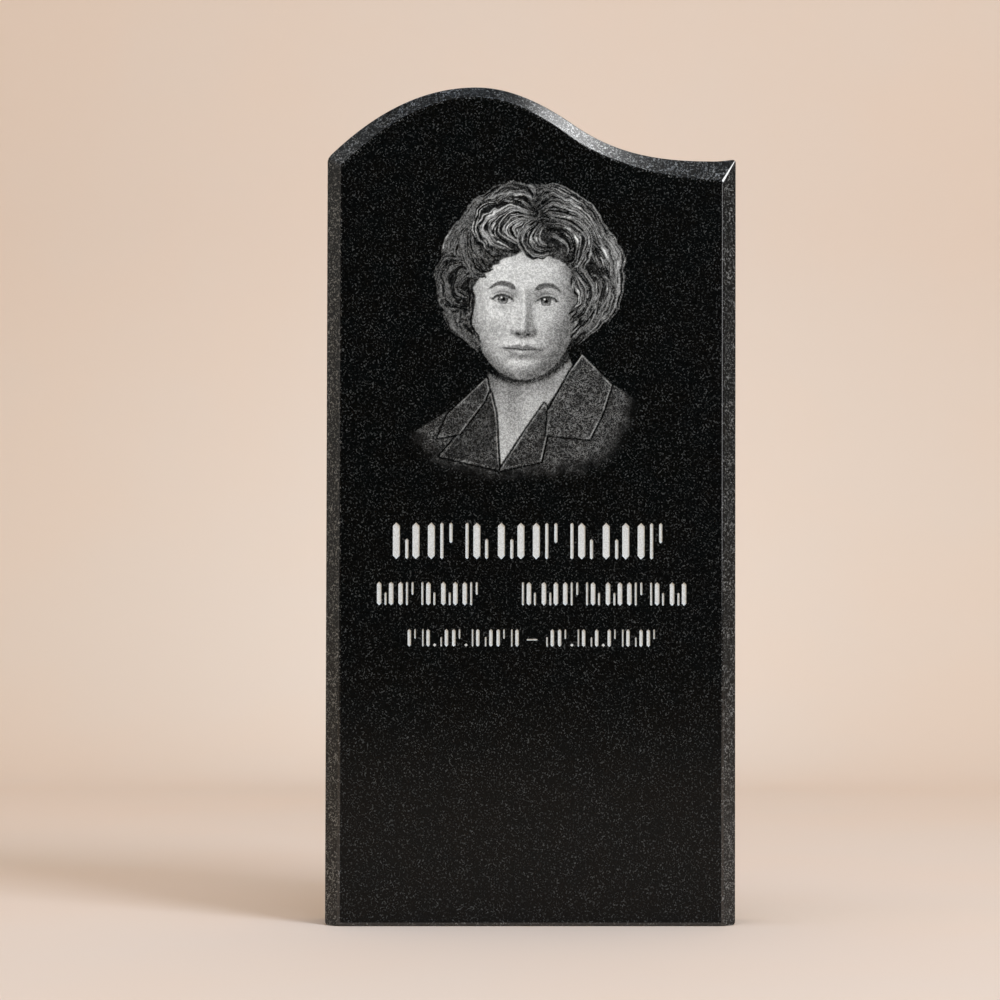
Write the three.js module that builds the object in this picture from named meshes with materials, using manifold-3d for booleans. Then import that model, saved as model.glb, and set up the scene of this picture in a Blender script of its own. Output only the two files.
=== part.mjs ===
// An upright headstone: one slab of polished black granite with a wave-shaped crown, a wide
// bevel round the face, and three rows of shallow cut strokes where an inscription would stand.
// Units are millimetres. X runs to the right of someone facing the stone, Y runs away from
// them through its thickness, and Z runs up from the middle of the underside.

import * as THREE from "three";
import { mergeVertices } from "three/addons/utils/BufferGeometryUtils.js";
import Module from "manifold-3d";

const wasm = await Module();
wasm.setup();

// Slab
const stoneHeight = 1000;
const stoneWidth = 488.6;
const stoneThickness = 80;
const cornerRound = 5; // where the sides meet the crown and the underside
const cornerSteps = 4;
const crownSteps = 96;

// The crown is one wave: over the crest, down into the hollow and up to the right shoulder.
// Places along it run from -1 at the left side to 1 at the right side. Drops below the crest
// and slopes are in shares of the wave's drop, which the bottom of the hollow reaches.
const waveDrop = 87.4;
const waveStations = [
  { at: -1, value: 0.983, slope: -2.8 }, // left shoulder
  { at: -0.27, value: 0, slope: 0 }, // crest
  { at: 0.204, value: 0.507, slope: 1.94 }, // steepest fall
  { at: 0.892, value: 1, slope: 0 }, // hollow
  { at: 1, value: 0.971, slope: -0.335 }, // right shoulder
];

// Bevel round the face. Along the crown its width is measured straight down, at places on the
// same scale as the wave's, and it grows towards both shoulders.
const sideBevelWidth = 16.4;
const bevelDepth = 12; // how far it runs back into the thickness
const crownBevelStations = [
  { at: -0.933, value: 26.7, slope: -16.6 },
  { at: -0.27, value: 14.3, slope: 2.9 },
  { at: 0.204, value: 18.5, slope: 7.1 },
  { at: 0.471, value: 18.8, slope: 13.2 },
  { at: 0.933, value: 26, slope: 18.8 },
];

// The small cuts that take the sharpness off the other edges
const footArris = 3;
const backArris = 2;

// Inscription: three rows of strokes on base lines, each set in from the two sides of the face.
// A row's words are lists of groups, and each number is the count of cells in a group.
const strokeDepth = 1;
const stemShare = 0.19; // stroke widths as shares of the row's height
const hairlineShare = 0.085;
const rows = [
  { base: 435.5, height: 43.5, leftInset: 59, rightInset: 64, words: [[8]], style: "name" },
  { base: 380.5, height: 28, leftInset: 42, rightInset: 40, words: [[5], [8]], style: "name" },
  { base: 331.5, height: 21, leftInset: 79, rightInset: 77, words: [[2, 2, 4], [2, 2, 4]], style: "date" },
];
const wordGap = 1.7; // each gap, dot and dash as shares of a cell
const dotShare = 0.4;
const dashShare = 0.85;
const dashHeight = 0.4; // of the row's height

const faceY = -stoneThickness / 2;
const backY = stoneThickness / 2;
const halfWidth = stoneWidth / 2;
const innerHalf = halfWidth - sideBevelWidth;

// A smooth line through stations, each with a place, a value and a slope, carried on straight
// past its two ends
function lineThrough(stations) {
  return (at) => {
    const first = stations[0];
    const last = stations[stations.length - 1];
    if (at <= first.at) return first.value + first.slope * (at - first.at);
    if (at >= last.at) return last.value + last.slope * (at - last.at);
    const next = stations.findIndex((station) => at <= station.at);
    const a = stations[next - 1];
    const b = stations[next];
    const run = b.at - a.at;
    const t = (at - a.at) / run;
    const u = 1 - t;
    const fromA = a.value * u * u * (1 + 2 * t) + a.slope * run * t * u * u;
    const fromB = b.value * t * t * (1 + 2 * u) - b.slope * run * t * t * u;
    return fromA + fromB;
  };
}

const wave = lineThrough(waveStations);
const crownBevel = lineThrough(crownBevelStations);
const crownHeight = (x) => stoneHeight - waveDrop * wave(x / halfWidth);
const crownBevelDrop = (x) => crownBevel(x / halfWidth);

// How far the front surface lies behind the face at a place, by whichever bevel cuts deepest
function frontDepth(x, z) {
  const bySide = (bevelDepth * (Math.abs(x) - innerHalf)) / sideBevelWidth;
  const aboveFace = z - (crownHeight(x) - crownBevelDrop(x));
  const byCrown = (bevelDepth * aboveFace) / crownBevelDrop(x);
  const byFoot = footArris - z;
  return Math.max(0, bySide, byCrown, byFoot);
}

// A rounded corner, from one point to another past the sharp corner between them
function roundCorner(from, corner, to) {
  const curve = new THREE.QuadraticBezierCurve(
    new THREE.Vector2(...from),
    new THREE.Vector2(...corner),
    new THREE.Vector2(...to),
  );
  return curve.getPoints(cornerSteps).map((p) => [p.x, p.y]);
}

// The stations go once round the stone: each has a point on the face's rim and one on the outline
function outlineStations() {
  const stations = [];
  const add = (inner, outer) => stations.push({ inner, outer });
  const addCorner = (inner, points) => points.forEach((outer) => add(inner, outer));
  const rimHeight = (x) => crownHeight(x) - crownBevelDrop(x);
  const footLeft = [-innerHalf, footArris];
  const footRight = [innerHalf, footArris];
  const crownEnd = halfWidth - cornerRound;

  add(footLeft, [-innerHalf, 0]);
  add(footRight, [innerHalf, 0]);
  addCorner(
    footRight,
    roundCorner([halfWidth - cornerRound, 0], [halfWidth, 0], [halfWidth, cornerRound]),
  );
  addCorner(
    [innerHalf, rimHeight(innerHalf)],
    roundCorner(
      [halfWidth, crownHeight(halfWidth) - cornerRound],
      [halfWidth, crownHeight(halfWidth)],
      [crownEnd, crownHeight(crownEnd)],
    ),
  );
  for (let i = 1; i < crownSteps; i++) {
    const share = 1 - (2 * i) / crownSteps;
    const rimX = share * innerHalf;
    const outlineX = share * crownEnd;
    add([rimX, rimHeight(rimX)], [outlineX, crownHeight(outlineX)]);
  }
  addCorner(
    [-innerHalf, rimHeight(-innerHalf)],
    roundCorner(
      [-crownEnd, crownHeight(-crownEnd)],
      [-halfWidth, crownHeight(-halfWidth)],
      [-halfWidth, crownHeight(-halfWidth) - cornerRound],
    ),
  );
  addCorner(
    footLeft,
    roundCorner([-halfWidth, cornerRound], [-halfWidth, 0], [-halfWidth + cornerRound, 0]),
  );
  return stations;
}

// A closed solid skinned over rings of equal count, with its first and last ring filled in
function skinRings(rings) {
  const positions = [];
  const same = (a, b) => a.every((value, i) => value === b[i]);
  const triangle = (a, b, c) => {
    if (!same(a, b) && !same(b, c) && !same(c, a)) positions.push(...a, ...b, ...c);
  };
  const cap = (ring, facesFront) => {
    const corners = ring.filter((point, i) => !same(point, ring[(i + 1) % ring.length]));
    const flat = corners.map(([x, , z]) => new THREE.Vector2(x, z));
    for (const [a, b, c] of THREE.ShapeUtils.triangulateShape(flat, [])) {
      const order = facesFront ? [a, b, c] : [a, c, b];
      triangle(...order.map((index) => corners[index]));
    }
  };
  for (let r = 1; r < rings.length; r++) {
    for (let i = 0; i < rings[r].length; i++) {
      const next = (i + 1) % rings[r].length;
      triangle(rings[r - 1][i], rings[r][i], rings[r][next]);
      triangle(rings[r - 1][i], rings[r][next], rings[r - 1][next]);
    }
  }
  cap(rings[0], true);
  cap(rings[rings.length - 1], false);
  const geometry = new THREE.BufferGeometry();
  geometry.setAttribute("position", new THREE.Float32BufferAttribute(positions, 3));
  return geometry;
}

function slabGeometry() {
  const stations = outlineStations();
  const backShare = [1 - backArris / halfWidth, 1 - backArris / (stoneHeight / 2)];
  const midHeight = stoneHeight / 2;
  return skinRings([
    stations.map(({ inner: [x, z] }) => [x, faceY, z]),
    stations.map(({ outer: [x, z] }) => [x, faceY + frontDepth(x, z), z]),
    stations.map(({ outer: [x, z] }) => [x, backY - backArris, z]),
    stations.map(({ outer: [x, z] }) => [
      x * backShare[0],
      backY,
      midHeight + (z - midHeight) * backShare[1],
    ]),
  ]);
}

// Strokes for one cell, in shares of the cell's width and the row's height. They are plain
// upright cuts with pointed ends, long and short, and never touch, so that they form no letter.
const full = [0, 1];
const lower = [0, 0.56];
const upper = [0.44, 1];
const cellPatterns = {
  name: [
    [
      { at: 0.2, wide: stemShare, reach: full },
      { at: 0.5, wide: hairlineShare, reach: lower },
      { at: 0.76, wide: stemShare, reach: full },
    ],
    [
      { at: 0.2, wide: stemShare, reach: full },
      { at: 0.5, wide: hairlineShare, reach: full },
      { at: 0.76, wide: hairlineShare, reach: upper },
    ],
    [
      { at: 0.22, wide: hairlineShare, reach: full },
      { at: 0.5, wide: stemShare, reach: full },
      { at: 0.78, wide: hairlineShare, reach: lower },
    ],
  ],
  date: [
    [
      { at: 0.26, wide: stemShare, reach: full },
      { at: 0.7, wide: hairlineShare, reach: upper },
    ],
    [
      { at: 0.3, wide: hairlineShare, reach: full },
      { at: 0.7, wide: stemShare, reach: full },
    ],
    [
      { at: 0.3, wide: hairlineShare, reach: lower },
      { at: 0.7, wide: stemShare, reach: full },
    ],
  ],
};

// An upright bar between two heights, pointed at both ends
function pointedBar(x, width, low, high) {
  const half = width / 2;
  const point = Math.min(half, (high - low) / 2);
  return [
    [x, low],
    [x + half, low + point],
    [x + half, high - point],
    [x, high],
    [x - half, high - point],
    [x - half, low + point],
  ];
}

// A level bar between two places, pointed at both ends
function pointedDash(from, to, z, width) {
  const half = width / 2;
  return [
    [from, z],
    [from + half, z - half],
    [to - half, z - half],
    [to, z],
    [to - half, z + half],
    [from + half, z + half],
  ];
}

// The outlines of a row's strokes, spread over the width that its insets leave
function rowOutlines({ base, height, leftInset, rightInset, words, style }) {
  const patterns = cellPatterns[style];
  const from = -innerHalf + leftInset;
  const to = innerHalf - rightInset;
  const cells = words.flat().reduce((sum, count) => sum + count, 0);
  const dots = words.reduce((sum, groups) => sum + groups.length - 1, 0);
  const pitch = (to - from) / (cells + dots * dotShare + (words.length - 1) * wordGap);
  const dotSize = height * stemShare;
  const outlines = [];
  let x = from;
  let cell = 0;
  words.forEach((groups, word) => {
    if (word > 0) {
      const middle = x + (pitch * wordGap) / 2;
      const reach = (pitch * dashShare) / 2;
      const dashZ = base + dashHeight * height;
      if (style === "date") {
        outlines.push(pointedDash(middle - reach, middle + reach, dashZ, height * hairlineShare));
      }
      x += pitch * wordGap;
    }
    groups.forEach((count, group) => {
      if (group > 0) {
        outlines.push(pointedBar(x + (pitch * dotShare) / 2, dotSize, base, base + dotSize));
        x += pitch * dotShare;
      }
      for (let i = 0; i < count; i++) {
        for (const { at, wide, reach } of patterns[cell % patterns.length]) {
          const [low, high] = reach.map((share) => base + share * height);
          outlines.push(pointedBar(x + at * pitch, wide * height, low, high));
        }
        x += pitch;
        cell += 1;
      }
    });
  });
  return outlines;
}

// A prism that stands through the face, to cut one stroke
function strokeCutter(outline) {
  const shape = new THREE.Shape(outline.map(([x, z]) => new THREE.Vector2(x, z)));
  const geometry = new THREE.ExtrudeGeometry(shape, {
    depth: 2 * strokeDepth,
    bevelEnabled: false,
  });
  geometry.rotateX(Math.PI / 2);
  geometry.translate(0, faceY + strokeDepth, 0);
  return geometry;
}

function solidFrom(geometry) {
  const bare = geometry.index ? geometry.toNonIndexed() : geometry.clone();
  bare.deleteAttribute("normal");
  bare.deleteAttribute("uv");
  const merged = mergeVertices(bare, 1e-4);
  return new wasm.Manifold(
    new wasm.Mesh({
      numProp: 3,
      vertProperties: merged.attributes.position.array,
      triVerts: new Uint32Array(merged.index.array),
    }),
  );
}

function geometryFrom(solid) {
  const mesh = solid.getMesh();
  const geometry = new THREE.BufferGeometry();
  geometry.setAttribute("position", new THREE.BufferAttribute(mesh.vertProperties, 3));
  geometry.setIndex(new THREE.BufferAttribute(mesh.triVerts, 1));
  const flat = geometry.toNonIndexed();
  flat.computeVertexNormals();
  return flat;
}

function headstoneMesh() {
  let solid = solidFrom(slabGeometry());
  for (const outline of rows.flatMap(rowOutlines)) {
    solid = solid.subtract(solidFrom(strokeCutter(outline)));
  }
  const polishedGranite = new THREE.MeshStandardMaterial({
    color: 0x131313,
    roughness: 0.15,
    metalness: 0,
  });
  const mesh = new THREE.Mesh(geometryFrom(solid), polishedGranite);
  mesh.name = "headstone_slab";
  return mesh;
}

const headstone = new THREE.Group();
headstone.name = "headstone";
headstone.add(headstoneMesh());

export default headstone;
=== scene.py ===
import math

import bpy
import numpy as np
from mathutils import Matrix, Vector
from mathutils.geometry import delaunay_2d_cdt


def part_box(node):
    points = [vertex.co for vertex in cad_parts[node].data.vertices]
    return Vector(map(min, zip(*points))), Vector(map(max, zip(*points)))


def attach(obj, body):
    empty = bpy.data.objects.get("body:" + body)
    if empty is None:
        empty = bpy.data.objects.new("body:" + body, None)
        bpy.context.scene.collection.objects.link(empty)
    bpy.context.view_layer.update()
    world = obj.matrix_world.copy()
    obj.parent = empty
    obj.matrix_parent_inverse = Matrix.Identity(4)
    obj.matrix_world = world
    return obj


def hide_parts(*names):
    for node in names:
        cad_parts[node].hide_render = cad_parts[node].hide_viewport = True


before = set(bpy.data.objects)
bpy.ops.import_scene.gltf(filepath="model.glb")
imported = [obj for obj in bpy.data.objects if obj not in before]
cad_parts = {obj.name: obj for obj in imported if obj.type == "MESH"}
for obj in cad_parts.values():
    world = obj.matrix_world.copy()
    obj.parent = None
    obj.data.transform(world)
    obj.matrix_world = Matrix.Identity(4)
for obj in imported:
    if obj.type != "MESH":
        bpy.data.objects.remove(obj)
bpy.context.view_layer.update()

# Looks of an upright headstone of polished black granite: a slab with a wave-shaped crown and
# a honed bevel, rows of frosted strokes cut into the face, and a portrait etched in tones.
# Everything is in metres in the part's frame: X to the right, Y to the back, Z up.

MM = 0.001
NODE = "headstone_slab"
low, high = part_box(NODE)

# Slab
HEIGHT = high.z - low.z
HALF_WIDTH = (high.x - low.x) / 2
FACE_Y = low.y
BACK_Y = high.y
CORNER_ROUND = 5 * MM
CORNER_STEPS = 8
CROWN_STEPS = 240

# The crown's wave: places run from -1 at the left side to 1 at the right side, and values and
# slopes are drops below the crest in shares of the wave's drop
WAVE_DROP = 87.4 * MM
WAVE_STATIONS = [
    (-1, 0.983, -2.8),
    (-0.27, 0, 0),
    (0.204, 0.507, 1.94),
    (0.892, 1, 0),
    (1, 0.971, -0.335),
]

# The bevel's width along the crown, measured straight down
SIDE_BEVEL = 16.4 * MM
BEVEL_DEPTH = 12 * MM
CROWN_BEVEL_STATIONS = [
    (-0.933, 26.7 * MM, -16.6 * MM),
    (-0.27, 14.3 * MM, 2.9 * MM),
    (0.204, 18.5 * MM, 7.1 * MM),
    (0.471, 18.8 * MM, 13.2 * MM),
    (0.933, 26 * MM, 18.8 * MM),
]
FOOT_ARRIS = 3 * MM
INNER_HALF = HALF_WIDTH - SIDE_BEVEL

# Roundings that polishing leaves on the edges
INNER_ROUND = 1.5 * MM
OUTER_ROUND = 1.2 * MM
BACK_ROUND = 2 * MM
MITRE_LEG = 2.0 * MM
ROUND_STEPS = 6
SHARP_ANGLE = math.radians(17.5)

# Inscription, as the part's solids have it
STROKE_DEPTH = 1 * MM
STROKE_SLOPE = 0.35 * MM  # how far a stroke's walls lean in on their way down
STROKE_RIM = 0.12 * MM
STEM_SHARE = 0.19
HAIRLINE_SHARE = 0.085
WORD_GAP = 1.7
DOT_SHARE = 0.4
DASH_SHARE = 0.85
DASH_HEIGHT = 0.4
ROWS = [
    # base, height, left inset, right inset, words as groups of cells, style
    (435.5 * MM, 43.5 * MM, 59 * MM, 64 * MM, [[8]], "name"),
    (380.5 * MM, 28 * MM, 42 * MM, 40 * MM, [[5], [8]], "name"),
    (331.5 * MM, 21 * MM, 79 * MM, 77 * MM, [[2, 2, 4], [2, 2, 4]], "date"),
]
FULL, LOWER, UPPER = (0, 1), (0, 0.56), (0.44, 1)
CELL_PATTERNS = {
    "name": [
        [(0.2, STEM_SHARE, FULL), (0.5, HAIRLINE_SHARE, LOWER), (0.76, STEM_SHARE, FULL)],
        [(0.2, STEM_SHARE, FULL), (0.5, HAIRLINE_SHARE, FULL), (0.76, HAIRLINE_SHARE, UPPER)],
        [(0.22, HAIRLINE_SHARE, FULL), (0.5, STEM_SHARE, FULL), (0.78, HAIRLINE_SHARE, LOWER)],
    ],
    "date": [
        [(0.26, STEM_SHARE, FULL), (0.7, HAIRLINE_SHARE, UPPER)],
        [(0.3, HAIRLINE_SHARE, FULL), (0.7, STEM_SHARE, FULL)],
        [(0.3, HAIRLINE_SHARE, LOWER), (0.7, STEM_SHARE, FULL)],
    ],
}

# The etched patch: a thin plate that lies flush in the face and carries the portrait's tones
PATCH_CENTRE = (-2 * MM, 702 * MM)
PATCH_HALF = (148 * MM, 194 * MM)
PATCH_POWER = 4
PATCH_DEPTH = 0.5 * MM
PATCH_GAP = 0.04 * MM
PATCH_COLUMNS = 276
PATCH_EDGE_SHARE, PATCH_EDGE_POWER = 0.16, 13  # the columns lie wider apart near both edges
PATCH_ROWS = 350
PATCH_HEAD_ROWS = 270  # rows above the neck, which lie closer
PATCH_NECK_Z = 640 * MM
PATCH_TOP_SHARE = 0.992


def line_through(stations):
    """A smooth line through (place, value, slope) stations, straight beyond its ends."""

    def value(at):
        first, last = stations[0], stations[-1]
        if at <= first[0]:
            return first[1] + first[2] * (at - first[0])
        if at >= last[0]:
            return last[1] + last[2] * (at - last[0])
        k = next(i for i, station in enumerate(stations) if at <= station[0])
        a, b = stations[k - 1], stations[k]
        run = b[0] - a[0]
        t = (at - a[0]) / run
        u = 1 - t
        from_a = a[1] * u * u * (1 + 2 * t) + a[2] * run * t * u * u
        from_b = b[1] * t * t * (1 + 2 * u) - b[2] * run * t * t * u
        return from_a + from_b

    return value


wave = line_through(WAVE_STATIONS)
crown_bevel = line_through(CROWN_BEVEL_STATIONS)


def crown_height(x):
    return HEIGHT - WAVE_DROP * wave(x / HALF_WIDTH)


def rim_height(x):
    return crown_height(x) - crown_bevel(x / HALF_WIDTH)


def front_depth(x, z):
    """How far the front surface lies behind the face, by whichever bevel cuts deepest."""
    by_side = BEVEL_DEPTH * (abs(x) - INNER_HALF) / SIDE_BEVEL
    by_crown = BEVEL_DEPTH * (z - rim_height(x)) / (crown_height(x) - rim_height(x))
    by_foot = FOOT_ARRIS - z
    return max(0.0, by_side, by_crown, by_foot)


def bezier(start, middle, end, t):
    u = 1 - t
    return tuple(u * u * a + 2 * u * t * b + t * t * c for a, b, c in zip(start, middle, end))


def round_corner(start, corner, end):
    return [bezier(start, corner, end, i / CORNER_STEPS) for i in range(CORNER_STEPS + 1)]


def outline_stations():
    """Once round the stone: each station has a point on the face's rim, a point on the outline
    and whether the narrow facet that starts there glints."""
    stations = []
    rim_end, crown_end = INNER_HALF - MITRE_LEG, HALF_WIDTH - CORNER_ROUND
    foot_left, foot_right = (-INNER_HALF, FOOT_ARRIS), (INNER_HALF, FOOT_ARRIS)

    def corner(inner, outer):
        ahead = [*inner[1:], inner[-1]]
        stations.extend((a, b, a != c) for a, b, c in zip(inner, outer, ahead))

    def crown_corner(side):
        """The rim and the rounded outline at one end of the crown, from the side inwards; the
        mitre between the two bevels is a narrow facet."""
        below = (side * INNER_HALF, rim_height(side * INNER_HALF) - MITRE_LEG)
        above = (side * rim_end, rim_height(side * rim_end))
        outer = round_corner(
            (side * HALF_WIDTH, crown_height(side * HALF_WIDTH) - CORNER_ROUND),
            (side * HALF_WIDTH, crown_height(side * HALF_WIDTH)),
            (side * crown_end, crown_height(side * crown_end)),
        )
        half = CORNER_STEPS // 2
        return [below] * half + [above] * (half + 1), outer

    stations.append((foot_right, (INNER_HALF, 0), False))
    foot_round = round_corner((crown_end, 0), (HALF_WIDTH, 0), (HALF_WIDTH, CORNER_ROUND))
    corner([foot_right] * len(foot_round), foot_round)
    corner(*crown_corner(1))
    for i in range(1, CROWN_STEPS):
        share = 1 - 2 * i / CROWN_STEPS
        rim_x, outline_x = share * rim_end, share * crown_end
        stations.append(((rim_x, rim_height(rim_x)), (outline_x, crown_height(outline_x)), False))
    inner, outer = crown_corner(-1)
    corner(inner[::-1], outer[::-1])
    corner([foot_left] * len(foot_round), [(-x, z) for x, z in foot_round[::-1]])
    stations.append((foot_left, (-INNER_HALF, 0), True))
    return stations


def inset_polygon(points, distance):
    """An anticlockwise polygon with every side moved in, and its corners mitred."""
    points = np.asarray(points, float)
    along = np.roll(points, -1, axis=0) - points
    along /= np.linalg.norm(along, axis=1)[:, None]
    inward = np.stack([-along[:, 1], along[:, 0]], axis=1)
    before = np.roll(inward, 1, axis=0)
    both = before + inward
    return points + both * (distance / (1 + (before * inward).sum(axis=1)))[:, None]


class MeshBuilder:
    """Collects vertices and faces with their materials, and makes a mesh object of them."""

    def __init__(self):
        self.vertices = []
        self.faces = []
        self.slots = []

    def ring(self, points):
        start = len(self.vertices)
        self.vertices.extend(tuple(map(float, point)) for point in points)
        return list(range(start, len(self.vertices)))

    def face(self, corners, slot):
        kept = [c for i, c in enumerate(corners) if c != corners[i - 1]]
        if len(kept) > 2:
            self.faces.append(kept)
            self.slots.append(slot)

    def bridge(self, first, second, slot_of):
        for i in range(len(first)):
            j = (i + 1) % len(first)
            self.face([first[i], second[i], second[j], first[j]], slot_of(i))

    def build(self, name, materials):
        mesh = bpy.data.meshes.new(name)
        mesh.from_pydata(self.vertices, [], self.faces)
        for material in materials:
            mesh.materials.append(material)
        mesh.polygons.foreach_set("material_index", self.slots)
        mesh.polygons.foreach_set("use_smooth", [True] * len(self.faces))
        mesh.validate()
        mesh.set_sharp_from_angle(angle=SHARP_ANGLE)
        piece = bpy.data.objects.new(name, mesh)
        bpy.context.scene.collection.objects.link(piece)
        return piece


def weigh_normals(piece):
    """Lets the large faces set the shading next to the narrow roundings."""
    modifier = piece.modifiers.new("weighted_normal", "WEIGHTED_NORMAL")
    modifier.keep_sharp = True
    bpy.context.view_layer.objects.active = piece
    bpy.ops.object.modifier_apply(modifier=modifier.name)


# Strokes


def pointed_bar(x, width, bottom, top):
    half = width / 2
    point = min(half, (top - bottom) / 2)
    return [
        (x, bottom),
        (x + half, bottom + point),
        (x + half, top - point),
        (x, top),
        (x - half, top - point),
        (x - half, bottom + point),
    ]


def pointed_dash(start, end, z, width):
    """A pointed bar laid down, with its points turned to run anticlockwise again."""
    first, *rest = [(along, across) for across, along in pointed_bar(z, width, start, end)]
    return [first, *rest[::-1]]


def row_outlines(base, height, left_inset, right_inset, words, style):
    patterns = CELL_PATTERNS[style]
    cells = sum(sum(groups) for groups in words)
    dots = sum(len(groups) - 1 for groups in words)
    start, end = -INNER_HALF + left_inset, INNER_HALF - right_inset
    pitch = (end - start) / (cells + dots * DOT_SHARE + (len(words) - 1) * WORD_GAP)
    dot = height * STEM_SHARE
    outlines = []
    x, cell = start, 0
    for word, groups in enumerate(words):
        if word > 0:
            middle, half = x + pitch * WORD_GAP / 2, pitch * DASH_SHARE / 2
            if style == "date":
                ends = (middle - half, middle + half)
                dash_z = base + DASH_HEIGHT * height
                outlines.append(pointed_dash(*ends, dash_z, height * HAIRLINE_SHARE))
            x += pitch * WORD_GAP
        for group, count in enumerate(groups):
            if group > 0:
                outlines.append(pointed_bar(x + pitch * DOT_SHARE / 2, dot, base, base + dot))
                x += pitch * DOT_SHARE
            for _ in range(count):
                for at, wide, reach in patterns[cell % len(patterns)]:
                    bottom, top = (base + share * height for share in reach)
                    outlines.append(pointed_bar(x + at * pitch, wide * height, bottom, top))
                x += pitch
                cell += 1
    return outlines


# Patch outline


def patch_half_width(z):
    """Half the patch's width at a height, from a rounded rectangle's formula."""
    share = min(1.0, abs(z - PATCH_CENTRE[1]) / PATCH_HALF[1])
    return PATCH_HALF[0] * (1 - share**PATCH_POWER) ** (1 / PATCH_POWER)


def patch_heights():
    reach = PATCH_TOP_SHARE * PATCH_HALF[1]
    foot, top = PATCH_CENTRE[1] - reach, PATCH_CENTRE[1] + reach
    below = np.linspace(foot, PATCH_NECK_Z, PATCH_ROWS - PATCH_HEAD_ROWS, endpoint=False)
    return np.concatenate([below, np.linspace(PATCH_NECK_Z, top, PATCH_HEAD_ROWS + 1)])


def patch_outline():
    """The patch's outline, anticlockwise as seen from the front."""
    heights = patch_heights()
    left = [(PATCH_CENTRE[0] - patch_half_width(z), z) for z in heights]
    right = [(PATCH_CENTRE[0] + patch_half_width(z), z) for z in heights]
    return right + left[::-1]


# Materials


class Shader:
    """A short way to write node trees: each call makes a node and returns its output."""

    def __init__(self, name):
        self.material = bpy.data.materials.new(name)
        self.material.use_nodes = True
        self.tree = self.material.node_tree
        self.tree.nodes.clear()
        self.output = self.tree.nodes.new("ShaderNodeOutputMaterial")
        self.place = self.node("TexCoord", "Object", {})

    def node(self, kind, output, inputs, **settings):
        """A new node, with its settings made and its inputs set or linked."""
        node = self.tree.nodes.new("ShaderNode" + kind)
        for key, value in settings.items():
            setattr(node, key, value)
        for key, value in inputs.items():
            socket = node.inputs[key]
            if isinstance(value, bpy.types.NodeSocket):
                self.tree.links.new(value, socket)
            else:
                socket.default_value = (*value, 1) if socket.type == "RGBA" else value
        return node.outputs[output]

    def noise(self, scale, detail=2.0, distortion=0.0):
        inputs = {"Vector": self.place, "Scale": scale, "Detail": detail, "Distortion": distortion}
        return self.node("TexNoise", "Fac", inputs)

    def math(self, operation, a, b=0.0, clamp=False):
        return self.node("Math", 0, {0: a, 1: b}, operation=operation, use_clamp=clamp)

    def steps(self, value, start, end, low_value=0.0, high_value=1.0):
        inputs = {"Value": value, "From Min": start, "From Max": end}
        inputs |= {"To Min": low_value, "To Max": high_value}
        return self.node("MapRange", "Result", inputs, interpolation_type="SMOOTHSTEP")

    def mix(self, factor, a, b):
        """Mixes two colours, which this node has in its places 6 and 7, with the result in 2."""
        return self.node("Mix", 2, {0: factor, 6: a, 7: b}, data_type="RGBA")

    def attribute(self, name):
        return self.node("Attribute", "Fac", {}, attribute_name=name)

    def bump(self, height, strength, distance):
        inputs = {"Height": height, "Strength": strength, "Distance": distance}
        return self.node("Bump", "Normal", inputs)

    def finish(self, **inputs):
        named = {key.replace("_", " "): value for key, value in inputs.items()}
        surface = self.node("BsdfPrincipled", "BSDF", named)
        self.tree.links.new(surface, self.output.inputs["Surface"])
        return self.material


def tinted(colour, shares):
    return tuple(c * share for c, share in zip(colour, shares))


def ridges(shader, width):
    """Curly lines, 1 on the line and 0 away from it."""
    ridge_noise = shader.noise(300, detail=0.5, distortion=1.0)
    distance = shader.math("ABSOLUTE", shader.math("SUBTRACT", ridge_noise, 0.5))
    return shader.steps(distance, 0.01, width, 1, 0)


def flecks(shader, width, cover):
    """Short curly lighter crystals: ridges, broken up by another noise."""
    breaks = shader.steps(shader.noise(420, detail=0.0), 0.62 - cover, 0.76 - cover)
    clusters = shader.steps(shader.noise(70), 0.3, 0.7, 0.35, 1.15)
    broken = shader.math("MULTIPLY", ridges(shader, width), breaks)
    return shader.math("MULTIPLY", broken, clusters, clamp=True)


def granite(shader, ground, fleck, mask):
    """Granite's colour: a dark ground with flecks where the mask says, and a drift of hue."""
    drift = shader.steps(shader.noise(22), 0.38, 0.62)
    drifting = shader.mix(drift, tinted(ground, (0.86, 1.04, 1.06)), tinted(ground, (1.12, 1.0, 0.86)))
    cloudy = shader.steps(shader.noise(300), 0.3, 0.7)
    darker = shader.mix(cloudy, tinted(ground, (0.4, 0.4, 0.4)), drifting)
    return shader.mix(mask, darker, fleck)


GROUND, FLECK = (0.0032, 0.0034, 0.0034), (0.058, 0.06, 0.0595)
HONED_GROUND, HONED_FLECK = (0.0055, 0.0053, 0.005), (0.17, 0.167, 0.16)
POLISHED_ROUGHNESS, POLISHED_LEVEL = 0.16, 0.15
ETCHED_ROUGHNESS, ETCHED_LEVEL = 0.7, 0.3
ETCHED_WHITE = (0.84, 0.84, 0.83)
ETCHED_GAIN, ETCHED_POWER = 1.2, 2.2  # from a tone as the eye sees it to the share of white
CLOTH_GRAIN, SKIN_GRAIN = 0.46, 0.18


def polished_colour(shader):
    return granite(shader, GROUND, FLECK, flecks(shader, 0.08, 0.1))


def polished_granite():
    shader = Shader("polished_granite")
    return shader.finish(
        Base_Color=polished_colour(shader),
        Roughness=POLISHED_ROUGHNESS,
        Specular_IOR_Level=POLISHED_LEVEL,
    )


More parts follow.
